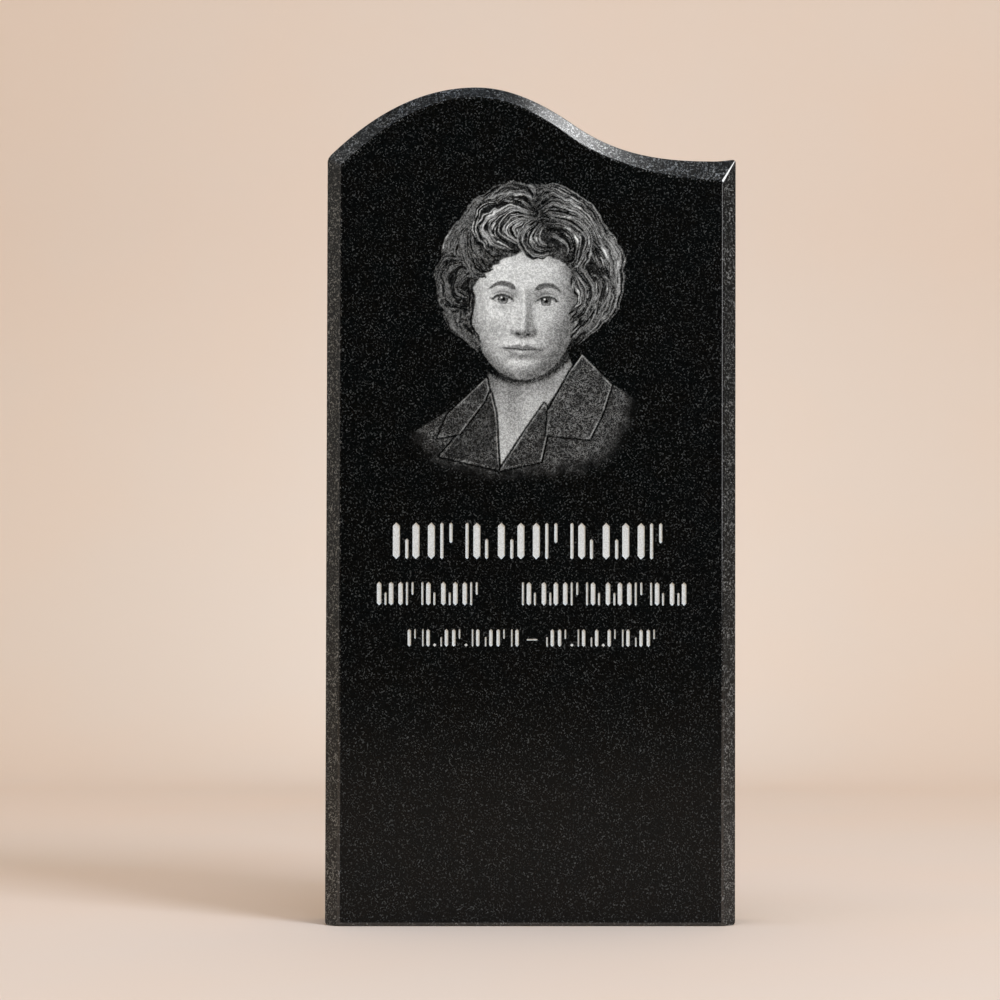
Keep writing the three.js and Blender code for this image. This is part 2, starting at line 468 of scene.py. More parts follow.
def honed_granite():
    """The bevels, sides and back: flecks show more here, and catch more light."""
    shader = Shader("honed_granite")
    mask = flecks(shader, 0.1, 0.2)
    grain = shader.noise(900)
    return shader.finish(
        Base_Color=granite(shader, HONED_GROUND, HONED_FLECK, mask),
        Roughness=0.28,
        Specular_IOR_Level=shader.steps(mask, 0.0, 0.8, 0.4, 0.85),
        Normal=shader.bump(grain, 0.1, 0.0002),
    )


def polished_arris():
    """The narrow facets and roundings round the face, which glint."""
    shader = Shader("polished_arris")
    colour = granite(shader, HONED_GROUND, HONED_FLECK, flecks(shader, 0.08, 0.1))
    return shader.finish(Base_Color=colour, Roughness=0.14, Specular_IOR_Level=0.8)


def frosted_stroke():
    shader = Shader("frosted_stroke")
    grain = shader.noise(800, distortion=0.6)
    colour = shader.mix(shader.steps(grain, 0.3, 0.7), (0.5, 0.5, 0.49), (0.74, 0.74, 0.73))
    return shader.finish(
        Base_Color=colour,
        Roughness=0.85,
        Specular_IOR_Level=0.2,
        Normal=shader.bump(grain, 0.4, 0.0003),
    )


def etched_portrait():
    """The polished granite, whitened by the etching as far as the tone says, with its grain."""
    shader = Shader("etched_portrait")
    tone = shader.attribute("etched")
    curls = shader.math("SUBTRACT", ridges(shader, 0.12), 0.45)
    coarse = shader.steps(tone, 0.19, 0.27, CLOTH_GRAIN, SKIN_GRAIN)
    worked = shader.math("MULTIPLY", shader.steps(tone, 0.03, 0.2), coarse)
    grained = shader.math("ADD", tone, shader.math("MULTIPLY", curls, worked), clamp=True)
    white = shader.math("MULTIPLY", shader.math("POWER", grained, ETCHED_POWER), ETCHED_GAIN)
    return shader.finish(
        Base_Color=shader.mix(white, polished_colour(shader), ETCHED_WHITE),
        Roughness=shader.steps(tone, 0.0, 0.25, POLISHED_ROUGHNESS, ETCHED_ROUGHNESS),
        Specular_IOR_Level=shader.steps(tone, 0.0, 0.25, POLISHED_LEVEL, ETCHED_LEVEL),
    )


# The stone


def inside(x, z, polygon):
    """Which places lie inside the polygon."""
    found = np.zeros(x.shape, bool)
    for (ax, az), (bx, bz) in zip(polygon, [*polygon[1:], polygon[0]]):
        crosses = (az > z) != (bz > z)
        if crosses.any():
            found ^= crosses & (x < (bx - ax) * (z - az) / ((bz - az) or 1) + ax)
    return found


def fill_face(builder, rim, rim_points, holes, slot):
    """Triangles between the rim of the face and the rims of what is cut into it.
    holes holds a list of vertex numbers and a list of points for each cut."""
    numbers = list(rim)
    points = list(rim_points)
    edges = [(i, (i + 1) % len(points)) for i in range(len(points))]
    for hole_numbers, hole_points in holes:
        start = len(points)
        count = len(hole_points)
        numbers.extend(hole_numbers)
        points.extend(hole_points)
        edges.extend((start + i, start + (i + 1) % count) for i in range(count))
    flat = [Vector(point) / MM for point in points]
    out_points, _, triangles, origins, _, _ = delaunay_2d_cdt(flat, edges, [], 0, 1e-4)
    source = [origin[0] for origin in origins]
    centres = np.array([sum((out_points[c] for c in t), Vector((0, 0))) / 3 for t in triangles]) * MM
    kept = inside(*centres.T, rim_points)
    for _, hole_points in holes:
        kept &= ~inside(*centres.T, hole_points)
    for keep, triangle in zip(kept, triangles):
        if keep:
            builder.face([numbers[source[c]] for c in triangle], slot)


def build_stone(materials):
    polished, honed, arris, frosted = range(4)
    builder = MeshBuilder()
    stations = outline_stations()
    glints = [glint for _, _, glint in stations]
    inner = np.array([point for point, _, _ in stations])
    outer = np.array([point for _, point, _ in stations])
    depth = np.array([front_depth(*point) for point in outer])
    reach = np.linalg.norm(outer - inner, axis=1)

    distinct = [i for i in range(len(inner)) if tuple(inner[i]) != tuple(inner[i - 1])]
    rim_points = inset_polygon(inner[distinct], INNER_ROUND)
    owner = np.zeros(len(inner), int)
    for k, i in enumerate(distinct):
        owner[i:] = k

    def lift(flat, y):
        y = np.broadcast_to(y, len(flat))
        return [(x, level, z) for (x, z), level in zip(flat, y)]

    def bend(start, middle, end):
        shares = [k / ROUND_STEPS for k in range(1, ROUND_STEPS + 1)]
        return [[bezier(*corner, t) for corner in zip(start, middle, end)] for t in shares]

    share = np.minimum(INNER_ROUND / reach, 0.3)
    on_bevel = lift(inner + (outer - inner) * share[:, None], FACE_Y + depth * share)
    share = np.minimum(OUTER_ROUND / reach, 0.5)
    off_bevel = lift(outer + (inner - outer) * share[:, None], FACE_Y + depth * (1 - share))
    rim_all = rim_points[owner]
    back_inset = inset_polygon(outer, BACK_ROUND)

    face_ring = builder.ring(lift(rim_points, FACE_Y))
    previous = [face_ring[k] for k in owner]
    side_end = lift(outer, BACK_Y - BACK_ROUND)
    sides = [
        *bend(off_bevel, lift(outer, FACE_Y + depth), lift(outer, FACE_Y + depth + OUTER_ROUND)),
        side_end,
        *bend(side_end, lift(outer, BACK_Y), lift(back_inset, BACK_Y)),
    ]
    sections = [
        (bend(lift(rim_all, FACE_Y), lift(inner, FACE_Y), on_bevel), lambda i: arris),
        ([off_bevel], lambda i: arris if glints[i] else honed),
        (sides, lambda i: honed),
    ]
    for rings, slot_of in sections:
        for points in rings:
            ring = builder.ring(points)
            builder.bridge(previous, ring, slot_of)
            previous = ring
    builder.face(previous[::-1], honed)

    holes = []
    for row in ROWS:
        for outline in row_outlines(*row):
            rim = builder.ring(lift(outline, FACE_Y))
            lip = builder.ring(lift(inset_polygon(outline, STROKE_RIM), FACE_Y + STROKE_RIM))
            floor = builder.ring(lift(inset_polygon(outline, STROKE_SLOPE), FACE_Y + STROKE_DEPTH))
            for a, b in ((lip, rim), (floor, lip)):
                builder.bridge(a, b, lambda i: frosted)
            builder.face(floor[::-1], frosted)
            holes.append((rim, outline))
    pocket = patch_outline()
    pocket_rim = builder.ring(lift(pocket, FACE_Y))
    pocket_floor = builder.ring(lift(pocket, FACE_Y + PATCH_DEPTH + PATCH_GAP))
    builder.bridge(pocket_floor, pocket_rim, lambda i: polished)
    builder.face(pocket_floor[::-1], polished)
    holes.append((pocket_rim, pocket))
    fill_face(builder, face_ring, [tuple(p) for p in rim_points], holes, polished)
    return builder.build("granite_stele", materials)


# The portrait, drawn in millimetres on the face: x to the right, z up. Tones run from 0, the
# untouched stone, to 1, white, as they look to the eye.

CANVAS_STEP = 0.5
CANVAS_X = (-152.0, 148.0)
CANVAS_Z = (504.0, 900.0)


def smooth(value, start, end):
    """0 before start, 1 after end, and an S-curve between them; start may be above end."""
    run = np.asarray(end - start, float)
    t = np.clip((value - start) / np.where(run == 0, 1e-6, run), 0, 1)
    return t * t * (3 - 2 * t)


def near(value, end, full):
    """1 where the value is within full of zero, 0 beyond end."""
    return smooth(np.abs(value), end, full)


def bell(value, size):
    return np.exp(-((value / size) ** 2))


def bump(u, v, at_u, at_v, size_u, size_v):
    """A soft round spot, 1 at its middle."""
    return bell(u - at_u, size_u) * bell(v - at_v, size_v)


def value_noise(x, z, size, seed):
    """Smooth random values from 0 to 1, with features of about the size given."""
    table = np.random.default_rng(seed).random((64, 64))
    gx, gz = x / size, z / size
    ix, iz = np.floor(gx).astype(int), np.floor(gz).astype(int)
    fx, fz = gx - ix, gz - iz
    fx, fz = fx * fx * (3 - 2 * fx), fz * fz * (3 - 2 * fz)
    a, b = table[ix % 64, iz % 64], table[(ix + 1) % 64, iz % 64]
    c, d = table[ix % 64, (iz + 1) % 64], table[(ix + 1) % 64, (iz + 1) % 64]
    return (a * (1 - fx) + b * fx) * (1 - fz) + (c * (1 - fx) + d * fx) * fz


def paint(canvas, tone, cover):
    """Lays a tone over the canvas as far as cover says."""
    canvas += (tone - canvas) * cover


def along_curve(x, z, points):
    """For each place, the share of the way along the curve and the signed distance from it;
    and the curve's length."""
    p = np.asarray(points)
    lengths = np.linalg.norm(np.diff(p, axis=0), axis=1)
    total = lengths.sum()
    best = np.full(x.shape, 1e9)
    share = np.zeros(x.shape)
    offset = np.zeros(x.shape)
    done = 0.0
    for (ax, az), (bx, bz), length in zip(p, p[1:], lengths):
        tx, tz = (bx - ax) / length, (bz - az) / length
        t = np.clip((x - ax) * tx + (z - az) * tz, 0, length)
        gap = np.hypot(x - ax - t * tx, z - az - t * tz)
        nearer = gap < best
        best = np.where(nearer, gap, best)
        share = np.where(nearer, (done + t) / total, share)
        side = (x - ax) * tz - (z - az) * tx
        offset = np.where(nearer, np.where(side < 0, -gap, gap), offset)
        done += length
    return share, offset, total


def polygon_depth(x, z, points):
    """How far inside the polygon a place is; below zero outside."""
    _, offset, _ = along_curve(x, z, points + points[:1])
    return np.where(inside(x, z, points), np.abs(offset), -np.abs(offset))


def curve_through(points, per_span=8):
    """A smooth curve through a few points."""
    p = np.asarray(points, float)
    p = np.vstack([2 * p[0] - p[1], p, 2 * p[-1] - p[-2]])
    out = []
    for before, a, b, after in zip(p, p[1:], p[2:], p[3:]):
        square = 2 * before - 5 * a + 4 * b - after
        cube = 3 * a - before - 3 * b + after
        for i in range(per_span):
            t = i / per_span
            out.append((2 * a + (b - before) * t + square * t * t + cube * t**3) / 2)
    out.append(p[-2])
    return [tuple(q) for q in out]


# Head
HEAD_CENTRE = (-9.0, 731.0)
HEAD_TILT = np.radians(2.5)
FACE_HALF = 63.0
CHIN_DOWN = 82.0

# Places on the face by the usual canon: thirds from hairline to brow, nose and chin, the eyes
# halfway up the head and one eye's width apart
BROW_V = 27.0
EYE_V = 12.0
NOSE_V = -27.0
MOUTH_V = -45.5
EYE_WIDTH = 2 * FACE_HALF / 5
EYE_U = EYE_WIDTH * 1.02
SKIN_DARKEST = 0.36


def from_head(x, z):
    """Places counted from the head's centre."""
    return x - HEAD_CENTRE[0], z - HEAD_CENTRE[1]


def beside(points):
    """Points given from the head's centre, as places on the face."""
    return [(u + HEAD_CENTRE[0], v + HEAD_CENTRE[1]) for u, v in points]


def head_frame(x, z):
    """Places counted from the head's centre along the tilted head."""
    dx, dz = from_head(x, z)
    c, s = np.cos(HEAD_TILT), np.sin(HEAD_TILT)
    return dx * c - dz * s, dx * s + dz * c


def face_half_width(v):
    widest = 12.0
    drop = np.where(v < widest, (widest - v) / (CHIN_DOWN + widest), (v - widest) / 125.0)
    power = np.where(v < widest, 2.15, 2.2)
    return FACE_HALF * np.sqrt(np.clip(1 - np.clip(drop, 0, 1) ** power, 0, 1))


RELIEF = [
    # height, and the place and half size of each swelling or hollow beside the face's middle
    (2.4, 22, BROW_V + 1, 20, 7),
    (-5.6, EYE_U - 2, EYE_V + 1, 13, 9),
    (3.8, EYE_U, EYE_V - 0.5, 9.5, 7),
    (3.6, 36, -10, 15, 14),
    (-1.6, 38, -42, 12, 16),
    (6.0, 0, NOSE_V + 4.5, 8.0, 7.0),
    (4.2, 10.5, NOSE_V + 3.4, 4.4, 4.8),
    (4.6, 0, MOUTH_V + 1, 20, 13),
    (-0.9, 0, NOSE_V - 9, 2.6, 6),
    (1.5, 5, MOUTH_V + 3.6, 11, 3.0),
    (2.2, 0, MOUTH_V - 5.0, 13, 3.8),
    (-2.2, 0, MOUTH_V - 12.5, 14, 4.5),
    (3.8, 0, -68, 14, 10),
]


def face_relief(u, v):
    """The face's height towards the viewer: an egg with brow, sockets, nose, lips and chin."""
    side = np.abs(u)
    across = np.clip(side / np.maximum(face_half_width(v), 1), 0, 1)
    h = 34 * (1 - across**3.2) ** 0.6 - 13 * np.clip(np.abs(v - 5) / 85, 0, 1.2) ** 2.8
    rise = smooth(v, BROW_V, NOSE_V + 8)
    end = smooth(v, NOSE_V - 7, NOSE_V + 9) * smooth(v, BROW_V + 12, BROW_V - 6)
    h += (3.0 + 7.0 * rise) * end * bell(side, 5.2 + 2.8 * rise)
    for height, *place in RELIEF:
        h += height * bump(side, v, *place)
    return h


LIGHT = np.array([-0.26, 0.34, 0.90])
LIGHT = LIGHT / np.linalg.norm(LIGHT)


def shade(h):
    """Soft light from the upper left on a relief given on the canvas's grid."""
    dv, du = np.gradient(h, CANVAS_STEP)
    length = np.sqrt(du * du + dv * dv + 1)
    return (-du * LIGHT[0] - dv * LIGHT[1] + LIGHT[2]) / length


def draw_face(canvas, x, z):
    u, v = head_frame(x, z)
    w = face_half_width(v)
    cover = smooth(w - np.abs(u), -0.6, 0.8) * (w > 0)
    lit = np.clip(shade(face_relief(u, v)), 0, 1)
    tone = 0.26 + 0.53 * lit**1.2
    tone += 0.03 * bump(u, v, -4, 55, 40, 22)
    tone -= 0.07 * smooth(u / np.maximum(w, 1), 0.55, 1.0)
    tone -= 0.10 * smooth(-v, 66, 84)
    tone += 0.04 * bump(u, v, -34, -8, 14, 12)
    tone -= 0.16 * smooth(v, 52, 76)
    spare = tone - SKIN_DARKEST
    tone = SKIN_DARKEST + (spare + np.sqrt(spare**2 + 0.006)) / 2
    paint(canvas, tone, cover)
    draw_nose(canvas, u, v)
    draw_mouth(canvas, u, v)
    for side in (-1, 1):
        draw_eye(canvas, u * side, v, side)
        draw_brow(canvas, u * side, v, side)


def draw_ears(canvas, x, z):
    """The lobes, which show below the hair."""
    u, v = head_frame(x, z)
    lobe = np.hypot((np.abs(u) - 61) / 7, (v + 16) / 13)
    paint(canvas, 0.55 - 0.25 * smooth(lobe, 0.4, 1.0), smooth(lobe, 1.05, 0.9))


def draw_nose(canvas, u, v):
    side = np.abs(u)
    paint(canvas, 0.44, 0.6 * bump(side, v - 0.022 * side**2, 0, NOSE_V - 4.0, 12, 2.0))
    nostril = bump(side, v - 0.3 * (side - 6), 6.0, NOSE_V - 0.6, 3.3, 1.8)
    paint(canvas, 0.10, 0.92 * smooth(nostril, 0.35, 0.75))
    wing = np.abs(np.hypot(side - 9.6, (v - NOSE_V - 3.2) * 0.9) - 5.0)
    wing_cover = smooth(wing, 1.5, 0.2) * smooth(side, 10.5, 13.0) * smooth(v, NOSE_V - 3, NOSE_V)
    paint(canvas, 0.36, 0.55 * wing_cover * smooth(v, NOSE_V + 9, NOSE_V + 5))
    paint(canvas, 0.50, 0.35 * bump(u, v, 9.0, NOSE_V + 24, 3.4, 15))
    paint(canvas, 0.93, 0.45 * bump(u, v, -1.2, NOSE_V + 6.5, 2.8, 3.2))
    paint(canvas, 0.88, 0.30 * bump(u, v, -1.0, NOSE_V + 24, 1.8, 15))


def draw_mouth(canvas, u, v):
    half = 23.5
    t = np.clip(np.abs(u) / half, 0, 1)
    line = MOUTH_V - 0.9 * bell(u, 4.5) + 0.5 * t**2
    bow = 1.3 * bell(np.abs(u) - 4.6, 3.4) - 1.4 * bell(u, 2.2)
    top = line + (5.4 + bow) * (1 - t**1.7)
    bottom = line - 7.6 * (1 - t**2.1) ** 0.8
    across = np.abs(u) < half
    upper = smooth(v, line - 0.5, line + 0.5) * smooth(v, top + 0.7, top - 0.5) * across
    lower = smooth(v, line + 0.5, line - 0.5) * smooth(v, bottom - 0.8, bottom + 0.9) * across
    upper_tone = 0.40 + 0.10 * smooth(v, line, top) - 0.05 * (u > 0) * t
    lower_tone = 0.60 - 0.16 * smooth(v, bottom + 3, bottom) - 0.12 * t**2
    lower_tone += 0.13 * bump(u, v, -4, MOUTH_V - 3.6, 7, 1.6)
    paint(canvas, upper_tone, 0.9 * upper)
    paint(canvas, lower_tone, 0.85 * lower)
    cut = near(v - line, 1.15, 0.25) * near(u, half + 0.8, half - 4)
    paint(canvas, 0.13, 0.9 * cut)
    paint(canvas, 0.32, 0.55 * bump(np.abs(u), v, half, MOUTH_V + 0.4, 2.6, 1.8))
    paint(canvas, 0.50, 0.55 * bump(u, v, 0, MOUTH_V - 10.6, 11, 2.2))


def draw_eye(canvas, u, v, side):
    """One eye, seen with its outer corner on the side of growing u."""
    half = EYE_WIDTH / 2
    s = (u - EYE_U) / half
    within = np.clip(1 - s**2, 0, 1)
    base = EYE_V + 0.7 * s
    upper = base + 5.9 * within**0.72 * (1 + 0.10 * s)
    lower = base - 4.0 * within**0.85 * (1 - 0.12 * s)
    opening = smooth(v, lower - 0.4, lower + 0.5) * smooth(v, upper + 0.4, upper - 0.5)
    opening = opening * (np.abs(s) < 1)
    paint(canvas, 0.40, 0.55 * bump(u, v, EYE_U - 11.5, EYE_V + 5.5, 5.5, 7.5))
    paint(canvas, 0.50, 0.40 * bump(u, v, EYE_U + 1, EYE_V - 8.2, 12, 3.0))
    white = 0.80 - 0.30 * smooth(v, upper - 3.2, upper) - 0.22 * s**2
    paint(canvas, white, opening)
    du, dv = u - (EYE_U - 0.4 * side), v - (EYE_V + 1.1)
    radius = np.hypot(du, dv)
    iris_tone = 0.30 + 0.20 * smooth(-dv, -1, 4) + 0.05 * np.cos(np.arctan2(dv, du) * 17)
    iris = smooth(radius, 6.1, 5.5) * opening
    paint(canvas, iris_tone, iris)
    paint(canvas, 0.10, 0.85 * near(radius - 5.7, 1.0, 0.2) * opening)
    paint(canvas, 0.03, smooth(radius, 2.9, 2.2) * opening)
    paint(canvas, 0.16, 0.75 * smooth(v, upper - 2.6, upper - 0.8) * opening)
    paint(canvas, 0.98, smooth(np.hypot(du + 1.9 * side, dv - 2.0), 1.5, 0.9) * opening)
    corner = np.hypot(u - EYE_U + half - 1.6, v - EYE_V + 0.4)
    paint(canvas, 0.62, 0.8 * smooth(corner, 1.8, 1.0) * opening)
    reach = near(s, 1.10, 0.98)
    lid = near(v - upper - 0.35, 1.35 + 0.45 * s, 0.35)
    paint(canvas, 0.07, 0.95 * lid * reach)
    rim = near(v - lower + 0.2, 0.95, 0.2) * reach
    paint(canvas, 0.34, 0.55 * rim * smooth(s, -0.9, 0.3))
    paint(canvas, 0.88, 0.28 * near(v - lower + 1.9, 1.3, 0.2) * near(s, 0.95, 0.5))
    crease = base + 8.8 * np.clip(1 - (s * 0.86) ** 2, 0, 1) ** 0.62 + 1.4
    fold = near(v - crease, 1.2, 0.2) * near(s, 1.18, 0.85)
    paint(canvas, 0.30, 0.62 * fold * smooth(s, -1.1, -0.6))
    paint(canvas, 0.20, 0.75 * bump(u, v, EYE_U + half + 0.9, EYE_V + 1.6, 2.4, 1.1))


def draw_brow(canvas, u, v, side):
    start, end = EYE_U - 14.0, EYE_U + 18.5
    t = (u - start) / (end - start)
    share = np.clip(t, 0, 1)
    arch = 5.4 * np.sin(np.pi * (0.92 * share) ** 0.9)
    middle = BROW_V - 0.5 + arch - 3.0 * smooth(share, 0.65, 1)
    half = 3.3 * (1 - share) ** 0.55 * smooth(t, -0.05, 0.14) + 0.6
    ends = smooth(t, -0.06, 0.05) * smooth(t, 1.03, 0.93)
    cover = near(v - middle, half + 0.9, half - 0.9) * ends
    lean = u - (v - middle) * (0.9 - 1.5 * share)
    hairs = 0.5 + 0.5 * np.sin(lean * 2 * np.pi / 2.1 + 2.5 * value_noise(u, v, 5.0, 5 + side))
    paint(canvas, 0.16 + 0.22 * hairs, 0.88 * cover)


# Hair: each wave lies between two guide curves, given from the head's centre
STRAND_PITCH = 4.1
HAIR_SCALE = (0.98, 0.962)
RUFFLE = 8.0  # how far the ruffling may push a place about
HAIR_SEED = 300
STRAYS = 42
STRAY_REACH = 20  # of the outline's points
WAVES = [
    # outer guide, inner guide, locks, brightness, place of the sheen
    ([(24, 153), (62, 143), (98, 111), (120, 62), (114, 8), (80, -44)],
     [(28, 112), (56, 106), (78, 82), (90, 48), (88, 14), (66, -24)], 12, 0.75, 0.5),
    ([(98, 56), (112, 30), (106, 2), (88, -24), (50, -52)],
     [(60, 56), (70, 34), (72, 8), (66, -12), (48, -30)], 9, 0.62, 0.45),
    ([(-8, 158), (-42, 148), (-76, 120), (-97, 88), (-92, 60), (-62, 48)],
     [(-2, 122), (-26, 118), (-46, 100), (-56, 82), (-54, 72), (-44, 66)], 12, 0.52, 0.55),
    ([(-103, 22), (-96, -10), (-82, -30), (-50, -58)],
     [(-60, 26), (-62, -4), (-60, -20), (-48, -44)], 8, 0.42, 0.45),
    ([(-52, 74), (-98, 66), (-110, 32), (-98, 2), (-62, -6)],
     [(-56, 36), (-66, 40), (-76, 32), (-76, 24), (-62, 18)], 10, 0.48, 0.5),
    ([(-56, 122), (-76, 100), (-76, 68), (-58, 42), (-44, 40)],
     [(-48, 96), (-48, 86), (-42, 76), (-34, 72), (-22, 74)], 9, 0.55, 0.5),
    ([(22, 140), (4, 157), (-20, 159), (-46, 143), (-62, 120)],
     [(16, 114), (0, 122), (-16, 122), (-32, 114), (-44, 100)], 9, 0.75, 0.5),
    ([(14, 142), (34, 155), (62, 145), (92, 116), (110, 84)],
     [(22, 110), (40, 114), (58, 108), (76, 90), (88, 62)], 9, 0.8, 0.5),
    ([(20, 122), (-24, 141), (-60, 118), (-56, 84), (-8, 66)],
     [(10, 108), (2, 108), (-6, 102), (-4, 94), (6, 86)], 13, 0.85, 0.55),
    ([(56, 66), (78, 52), (88, 24), (80, -6), (52, -22)],
     [(56, 40), (61, 30), (64, 14), (61, 2), (54, -6)], 7, 0.75, 0.45),
    ([(26, 120), (62, 112), (80, 82), (70, 54), (48, 44)],
     [(28, 98), (38, 92), (46, 82), (48, 72), (44, 66)], 9, 0.85, 0.5),
    ([(24, 118), (2, 108), (-6, 84), (10, 66), (40, 70)],
     [(26, 104), (22, 98), (20, 92), (24, 86), (32, 86)], 8, 0.8, 0.55),
]


SILHOUETTE = [
    (-57, -47), (-82, -27), (-97, 0), (-106, 26), (-103, 54), (-92, 68), (-94, 88), (-85, 105),
    (-70, 120), (-54, 128), (-44, 142), (-28, 154), (-8, 158), (18, 155), (44, 148), (70, 134),
    (94, 112), (110, 90), (118, 64), (117, 30), (109, 4), (92, -16), (74, -32), (50, -44),
]


def window(points, reach):
    """The part of the canvas that lies round the points."""
    spans = []
    for places, start in zip(np.array(points).T, (CANVAS_X[0], CANVAS_Z[0])):
        first = int((places.min() - reach - RUFFLE - start) / CANVAS_STEP)
        last = int((places.max() + reach + RUFFLE - start) / CANVAS_STEP)
        spans.append(slice(max(0, first), max(0, last) + 2))
    return spans[1], spans[0]


def ruffle(x, z):
    """The places as the hair is drawn on them, pushed about so that its outline and its waves
    aren't too even."""
    moved = []
    for value, centre, scale, seed in zip((x, z), HEAD_CENTRE, HAIR_SCALE, (61, 65)):
        large = value_noise(x, z, 21, seed) - 0.5
        small = value_noise(x, z, 6.5, seed + 1) - 0.5
        moved.append(centre + (value - centre) / scale + 0.9 * RUFFLE * large + 0.36 * RUFFLE * small)
    return moved


def draw_lock(canvas, x, z, points, half, bright, sheen, seed):
    """A lock as a ribbon along a curve: bright strands on dark, and dark edges."""
    area = window(points, half * 1.5)
    x, z = x[area], z[area]
    share, offset, total = along_curve(x, z, points)
    taper = 0.3 + 0.7 * smooth(share, 0.0, 0.2) * smooth(share, 1.0, 0.7)
    across = offset / (half * taper)
    cover = near(across, 1.04, 0.9)
    cover = cover * smooth(share, 0.0, 0.02) * smooth(share, 1.0, 0.985)
    drift = value_noise(across * half * 0.3 + 40, share * total * 0.03, 1.0, seed)
    comb = 0.5 + 0.5 * np.cos(2 * np.pi * (across * half / STRAND_PITCH + 2.2 * drift))
    fine = value_noise(across * half * 0.9 + 80, share * total * 0.05, 1.0, seed + 1)
    line = smooth(0.6 * comb + 0.4 * fine, 0.57, 0.82)
    shine = bell(share - sheen, 0.28)
    patches = value_noise(x, z, 7.0, seed + 2)
    body = 0.03 + 0.05 * shine
    top = bright * (0.34 + 0.58 * shine) * np.clip(2.1 * patches, 0.1, 1.7)
    tone = body + (top - body) * line
    tone = tone * (1 - 0.8 * smooth(np.abs(across), 0.55, 1.0))
    paint(canvas[area], np.clip(tone, 0.03, 0.92), cover)


def draw_strand(canvas, x, z, points, bright):
    """One fine stray hair."""
    area = window(points, 2.0)
    share, offset, _ = along_curve(x[area], z[area], points)
    cover = near(offset, 1.0, 0.25) * smooth(share, 0.0, 0.3) * smooth(share, 1.0, 0.8)
    paint(canvas[area], bright, 0.85 * cover)


def draw_hair(canvas, x, z):
    rng = np.random.default_rng(HAIR_SEED)
    seed = HAIR_SEED
    for outer, inner, count, bright, sheen in WAVES:
        outer = np.array(curve_through(beside(outer)))
        inner = np.array(curve_through(beside(inner)))
        spread = np.linalg.norm(outer - inner, axis=1).mean()
        steps = np.linspace(0, 1, len(outer))[:, None]

        def between(at, drift, reach):
            shares = np.clip(at + drift * steps, -0.06, 1)
            curve = outer + (inner - outer) * shares
            return curve[: int(len(curve) * reach)]

        for k in range(count):
            seed += 3
            half = spread / count * rng.uniform(0.66, 1.0)
            centre = between((k + 0.5) / count, rng.normal(0, 0.06), rng.uniform(0.88, 1.0))
            place = sheen + rng.normal(0, 0.07)
            draw_lock(canvas, x, z, centre, half, bright * rng.uniform(0.8, 1.1), place, seed)
        for _ in range(count):
            centre = between(rng.uniform(-0.06, 0.95), rng.normal(0, 0.18), rng.uniform(0.85, 1.0))
            draw_strand(canvas, x, z, centre, bright * rng.uniform(0.6, 0.95))
    outline = np.array(curve_through(beside(SILHOUETTE)))
    for _ in range(STRAYS):
        k = rng.integers(0, len(outline) - STRAY_REACH)
        run = outline[k : k + STRAY_REACH : 4][:: rng.choice((-1, 1))] - HEAD_CENTRE
        lift = rng.uniform(0.01, 0.09) * np.linspace(0, 1, len(run))[:, None] ** 2
        strand = HEAD_CENTRE + run * (rng.uniform(0.86, 0.985) + lift)
        draw_strand(canvas, x, z, strand, rng.uniform(0.2, 0.6))


def draw_back_hair(canvas, x, z):
    points = beside(SILHOUETTE)
    points = curve_through(points + [points[0]], 5)[:-1]
    depth = polygon_depth(x, z, points)
    ragged = depth + 2.2 * (value_noise(x, z, 3.0, 90) - 0.5)
    streaks = value_noise(x * 0.9 + z * 0.35, z * 0.25 - x * 0.1, 1.6, 91)
    paint(canvas, 0.04 + 0.10 * streaks, smooth(ragged, -0.6, 1.2))


def draw_crown(canvas, x, z):
    """Dark hair above the hairline, under the fringe's locks."""
    u, v = from_head(x, z)
    line = 76 - 0.011 * (u - 4) ** 2 + 5 * (value_noise(u, v, 6.0, 95) - 0.5)
    streaks = value_noise(u * 0.7, v * 0.2, 1.2, 96)
    above = (np.abs(u) < FACE_HALF + 3) * (canvas > 0.01)
    paint(canvas, 0.05 + 0.15 * streaks, smooth(v - line, -2.5, 1.5) * above)


# The dress: outlines from the head's centre
COLLAR_RIGHT = [(69, -52), (104, -88), (93, -122), (78, -152), (27, -147), (29, -119), (55, -72)]
LAPEL_RIGHT = [(24, -111), (29, -119), (27, -147), (20, -179), (-28, -189), (3, -141)]
COLLAR_LEFT = [(-45, -80), (-91, -124), (-102, -151), (-77, -146), (-48, -108), (-42, -94)]
LAPEL_LEFT = [(-48, -108), (-77, -146), (-100, -173), (-30, -189), (-34, -122), (-40, -98)]
BODY = [
    (-45, -80), (-80, -112), (-118, -136), (-160, -162), (-160, -225), (165, -225), (165, -134),
    (134, -105), (104, -86), (69, -52), (30, -110), (-28, -189), (-34, -122),
]
NECK = [(-46, -40), (-44, -72), (-38, -122), (-29, -190), (3, -141), (28, -112), (58, -68), (50, -40)]
CLOTH = [
    # outline, tone, seed, tone of the seam
    (BODY, 0.16, 11, None),
    (LAPEL_LEFT, 0.135, 21, 0.62),
    (COLLAR_LEFT, 0.15, 31, 0.6),
    (LAPEL_RIGHT, 0.16, 41, 0.62),
    (COLLAR_RIGHT, 0.175, 51, 0.7),
]


def draw_cloth(canvas, x, z, points, tone, seed, seam):
    points = beside(points)
    depth = polygon_depth(x, z, points)
    cover = smooth(depth, -0.5, 0.5)
    patches = value_noise(x, z, 9, seed)
    paint(canvas, tone * (0.8 + 0.4 * patches), cover)
    if seam:
        paint(canvas, 0.03, 0.95 * near(depth + 1.6, 1.7, 0.5))
        worn = smooth(value_noise(x, z, 16, seed + 1), 0.25, 0.7)
        paint(canvas, seam, (0.25 + 0.6 * worn) * near(depth - 0.4, 1.0, 0.3))
        stitch = near(depth - 4.5, 0.8, 0.2)
        paint(canvas, tone * 0.45, 0.5 * stitch)


